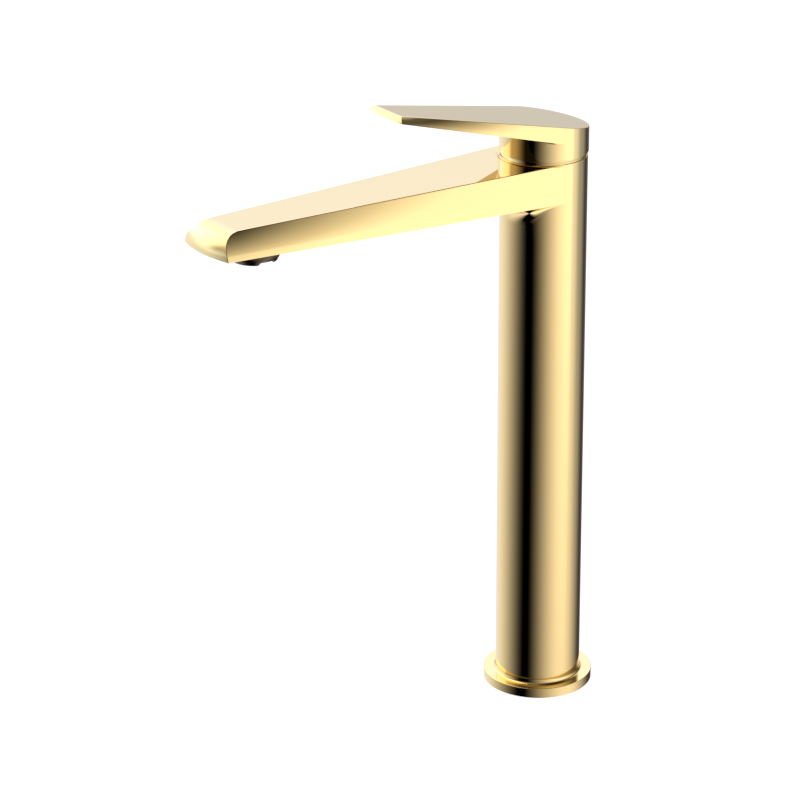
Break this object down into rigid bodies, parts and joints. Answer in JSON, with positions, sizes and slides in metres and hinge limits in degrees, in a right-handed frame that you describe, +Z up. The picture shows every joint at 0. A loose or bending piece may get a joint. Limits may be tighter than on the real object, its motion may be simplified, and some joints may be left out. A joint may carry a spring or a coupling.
{
  "type": "single-lever basin mixer faucet",
  "caption": "Tall round-column bathroom mixer faucet with a long tapering spout and a sloping blade lever on top.",
  "frame": {"origin": "centre of the base on the deck, at the mouth of the central stud hole", "axes": "+Z up the column, spout and lever towards -Y, hot side -X, cold side +X"},
  "size_m": [0.059, 0.2405, 0.3429],
  "materials": {
    "polished_gold": "mirror polished warm gold plating",
    "raw_brass": "machined brass, unplated",
    "copper_tube": "drawn copper tube",
    "stem_brass": "die-cast brass stem",
    "steel_hardware": "plain stainless",
    "black_rubber": "matt black EPDM",
    "grey_plastic": "moulded grey",
    "white_plastic": "moulded white",
    "disc_ceramic": "lapped alumina",
    "dark_aerator": "dark nickel-black ring",
    "aerator_insert": "moulded dark grey"
  },
  "bodies": {
    "root": {"body": "polished_gold", "base_flange": "polished_gold", "dome_ring": "polished_gold", "inlet_block": "raw_brass", "cartridge_locknut": "raw_brass", "hot_inlet_tube": "copper_tube", "cold_inlet_tube": "copper_tube", "base_seal": "black_rubber", "flange_o_ring": "black_rubber", "lower_tube_o_rings": "black_rubber", "upper_tube_o_rings": "black_rubber", "base_seals": "black_rubber", "disc_seals": "black_rubber", "housing_o_ring": "black_rubber", "aerator_seal": "black_rubber", "block_grub_screws": "steel_hardware", "cartridge_base": "grey_plastic", "cartridge_housing": "grey_plastic", "fixed_disc": "disc_ceramic", "aerator_housing": "dark_aerator", "aerator_grille": "aerator_insert", "aerator_screen": "aerator_insert", "flow_regulator": "aerator_insert"},
    "turret": {"cartridge_turret": "white_plastic", "stem_pin": "steel_hardware"},
    "lever": {"handle": "polished_gold", "handle_plug": "polished_gold", "handle_set_screw": "steel_hardware", "cartridge_stem": "stem_brass"},
    "disc": {"moving_disc": "disc_ceramic", "disc_carrier": "white_plastic"}
  },
  "joints": [
    {"name": "handle_turn", "type": "hinge", "parent": "root", "child": "turret", "pos_m": [0, 0, 0.295], "axis": [0, 0, 1], "range_deg": [-35, 35]},
    {"name": "handle_lift", "type": "hinge", "parent": "turret", "child": "lever", "pos_m": [0, 0, 0.295], "axis": [-1, 0, 0], "range_deg": [0, 25]},
    {"name": "disc_slide", "type": "slide", "parent": "turret", "child": "disc", "axis": [0, -1, 0], "range_m": [0, 0.0047]}
  ],
  "couplings": [
    {"joint": "disc_slide", "follows": "handle_lift", "m_per_rad": 0.01065}
  ]
}
